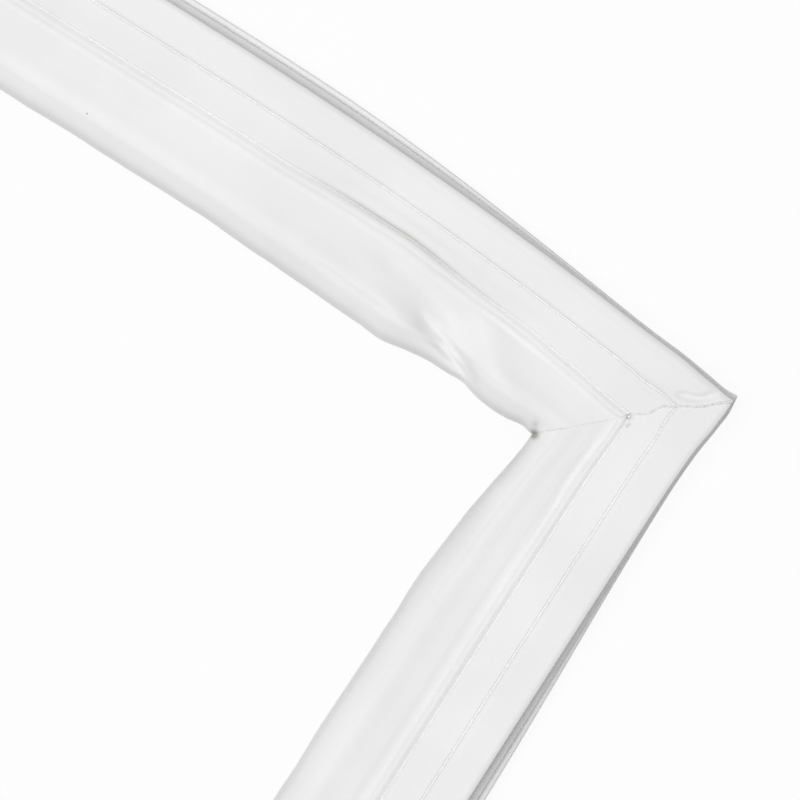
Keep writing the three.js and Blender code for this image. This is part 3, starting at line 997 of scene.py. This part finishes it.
def white_pvc(uneven, drawn):
    """Soft, slightly glossy white profile, with drawn lines, faint streaks, specks of dust, and painted
    shade in the pinched groove and the pits.
    """
    material, t, shader = new_material("white_flexible_pvc")
    place = t.add("ShaderNodeTexCoord").outputs
    patches = placed(t, uneven, {"Position": place["Object"], "Broad Scale": 34.0, "Fine Scale": 1300.0,
                                 "Speck Scale": 105.0, "Speck Size": 0.034})
    lines = placed(t, drawn, {"Unrolled": place["UV"], "Lines": 1500.0, "Stretch": 0.008})
    colour = blended(t, t.smooth(patches["Broad"], *DULL_RANGE), PVC_LIGHT, PVC_DULL)
    streaks = t.smooth(lines["Streaks"], *STREAK_RANGE, 0, STREAK_MOST)
    colour = blended(t, streaks, colour, PVC_STREAK)
    colour = blended(t, t.sum("MULTIPLY", patches["Specks"], DUST_MOST), colour, DUST)
    # Painted shade: the pinched groove and the pits are darkened by the attribute.
    painted_shade = t.out("ShaderNodeAttribute", "Fac", attribute_name="painted_shade")
    colour = blended(t, painted_shade, colour, PAINTED_SHADE_GREY)
    t.feed(shader["Base Color"], colour)
    t.feed(shader["Roughness"], t.smooth(patches["Fine"], *FINE_RANGE, *PVC_ROUGHNESS))
    drawn_height = t.sum("MULTIPLY", lines["Height"], LINES_IN_GRAIN)
    grain = t.sum("ADD", drawn_height, t.sum("MULTIPLY", patches["Fine"], FINE_IN_GRAIN))
    t.feed(shader["Normal"], t.out("ShaderNodeBump", 0, {
        "Strength": 0.25, "Distance": 0.02 * MM, "Height": grain}))
    shader["IOR"].default_value = PVC_IOR
    return material


def weld_pvc(uneven):
    """The same plastic, melted and set: a little glassier and greyer."""
    material, t, shader = new_material("welded_white_pvc")
    place = t.add("ShaderNodeTexCoord").outputs
    patches = placed(t, uneven, {"Position": place["Object"], "Broad Scale": 400.0, "Fine Scale": 2500.0})
    t.feed(shader["Base Color"], blended(t, patches["Broad"], WELD_LIGHT, WELD_DULL))
    t.feed(shader["Roughness"], t.smooth(patches["Fine"], *FINE_RANGE, *WELD_ROUGHNESS))
    return material


def ferrite_rubber(uneven):
    """The magnet strips: dark brown rubber filled with ferrite powder."""
    material, t, shader = new_material("ferrite_rubber")
    place = t.add("ShaderNodeTexCoord").outputs
    patches = placed(t, uneven, {"Position": place["Object"], "Broad Scale": 60.0, "Fine Scale": 3000.0,
                                 "Speck Scale": 700.0, "Speck Size": 0.12})
    colour = blended(t, patches["Broad"], FERRITE_LIGHT, FERRITE_DARK)
    specks = t.sum("MULTIPLY", patches["Specks"], FERRITE_SPECK_MOST)
    colour = blended(t, specks, colour, FERRITE_SPECK)
    t.feed(shader["Base Color"], colour)
    t.feed(shader["Roughness"], t.smooth(patches["Fine"], *FINE_RANGE, *FERRITE_ROUGHNESS))
    t.feed(shader["Normal"], t.out("ShaderNodeBump", 0, {
        "Strength": 0.4, "Distance": 0.05 * MM, "Height": patches["Fine"]}))
    return material


# Floor and light
FLOOR_SIZE = 6
FLOOR_COLOUR = (0.85, 0.85, 0.85, 1)
FLOOR_GLOW = 0.92
KEY_TOWARDS = Vector((-0.17, -0.08, 0.97)).normalized()
KEY_DISTANCE = 1.9
KEY_SIZE = 0.9
KEY_POWER = 26
SKY_STRENGTH = 0.28


def make_floor():
    bpy.ops.mesh.primitive_plane_add(size=FLOOR_SIZE)
    floor = bpy.context.object
    floor.name = "floor"
    material = bpy.data.materials.new("white_floor")
    material.use_nodes = True
    t = Tree(material.node_tree)
    t.tree.nodes.clear()
    matt = t.out("ShaderNodeBsdfDiffuse", 0, {"Color": FLOOR_COLOUR})
    glow = t.out("ShaderNodeEmission", 0, {"Color": WHITE, "Strength": 1.0})
    paths = t.add("ShaderNodeLightPath").outputs
    seen = t.sum("MAXIMUM", paths["Is Camera Ray"], paths["Is Glossy Ray"])
    seen = t.sum("MAXIMUM", seen, paths["Is Transmission Ray"])
    share = t.sum("MULTIPLY", seen, FLOOR_GLOW)
    mixed = t.out("ShaderNodeMixShader", 0, {0: share, 1: matt, 2: glow})
    t.add("ShaderNodeOutputMaterial", {"Surface": mixed})
    floor.data.materials.append(material)


def make_lights():
    world = bpy.context.scene.world or bpy.data.worlds.new("world")
    bpy.context.scene.world = world
    world.use_nodes = True
    background = world.node_tree.nodes["Background"]
    background.inputs["Color"].default_value = WHITE
    background.inputs["Strength"].default_value = SKY_STRENGTH
    data = bpy.data.lights.new("key", "AREA")
    data.shape = "DISK"
    data.size = KEY_SIZE
    data.energy = KEY_POWER
    lamp = bpy.data.objects.new("key", data)
    lamp.location = Vector((*VIEW_CENTRE, HEAD_TOP)) + KEY_DISTANCE * KEY_TOWARDS
    lamp.rotation_euler = KEY_TOWARDS.to_track_quat("Z", "Y").to_euler()
    bpy.context.scene.collection.objects.link(lamp)


bpy.context.scene.view_settings.view_transform = "Standard"
make_camera()
make_lights()
make_floor()
uneven = uneven_group()
pvc = white_pvc(uneven, drawn_group())
for side, piece in make_lengths(pvc).items():
    shape_length(side, piece.data)
    finish_surface(piece.data)
    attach(piece, "root")
    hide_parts(side + "_profile")
for bead in make_beads(weld_pvc(uneven)):
    finish_surface(bead.data)
    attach(bead, "root")
ferrite = ferrite_rubber(uneven)
for name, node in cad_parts.items():
    if name.startswith("magnet_strip"):
        for place in node.material_slots:
            place.material = ferrite
